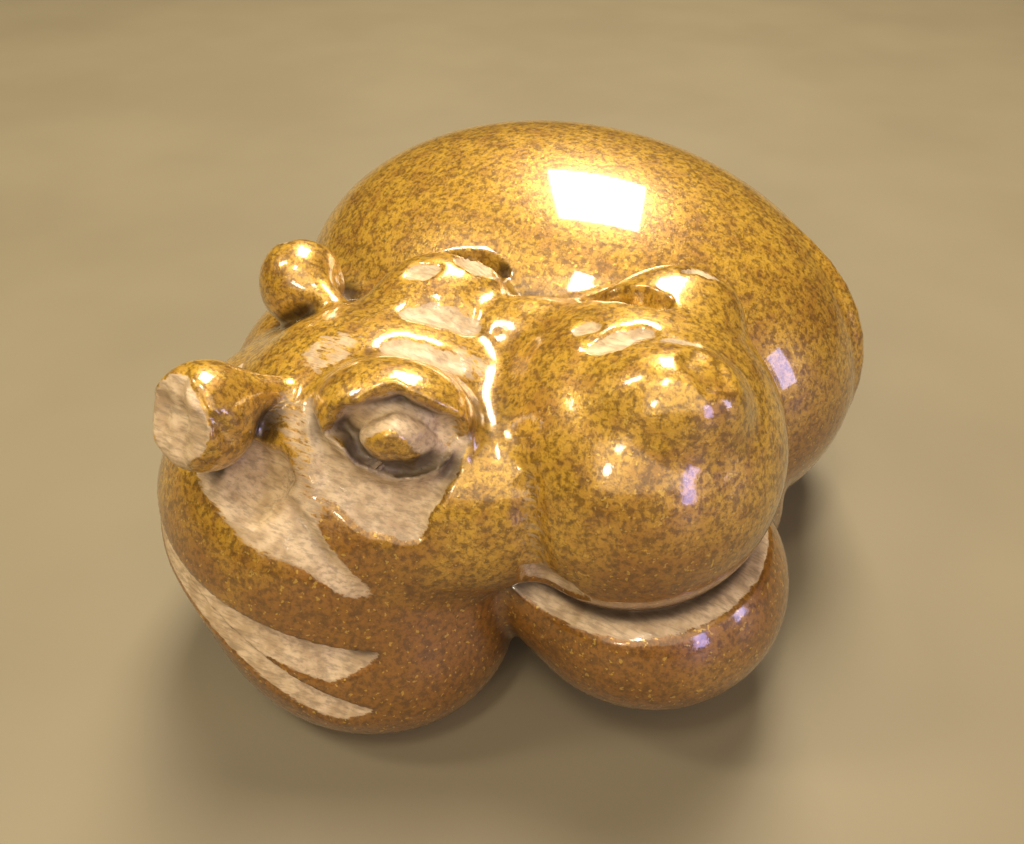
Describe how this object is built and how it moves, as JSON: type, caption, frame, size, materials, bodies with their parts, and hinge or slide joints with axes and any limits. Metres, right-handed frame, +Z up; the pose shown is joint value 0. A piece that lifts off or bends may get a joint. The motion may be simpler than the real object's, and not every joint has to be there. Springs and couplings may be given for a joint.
{
  "type": "carved stone hippopotamus figurine",
  "caption": "Small carved stone hippopotamus lying down with its head turned back along its flank, resting on a flat underside.",
  "frame": {"origin": "middle of the footprint, on the surface the figurine lies on", "axes": "+X along the trunk towards the rump, +Y away from the turned head, +Z up"},
  "size_m": [0.0711, 0.0805, 0.0444],
  "materials": {
    "stone": "polished, with matte carved recesses"
  },
  "bodies": {
    "root": {"trunk": "stone", "neck": "stone", "skull": "stone", "muzzle": "stone", "lower_jaw": "stone", "right_ear": "stone", "left_ear": "stone", "right_eye": "stone", "left_eye": "stone", "right_foreleg": "stone", "left_foreleg": "stone", "right_hind_leg": "stone", "left_hind_leg": "stone", "tail": "stone"}
  },
  "joints": []
}
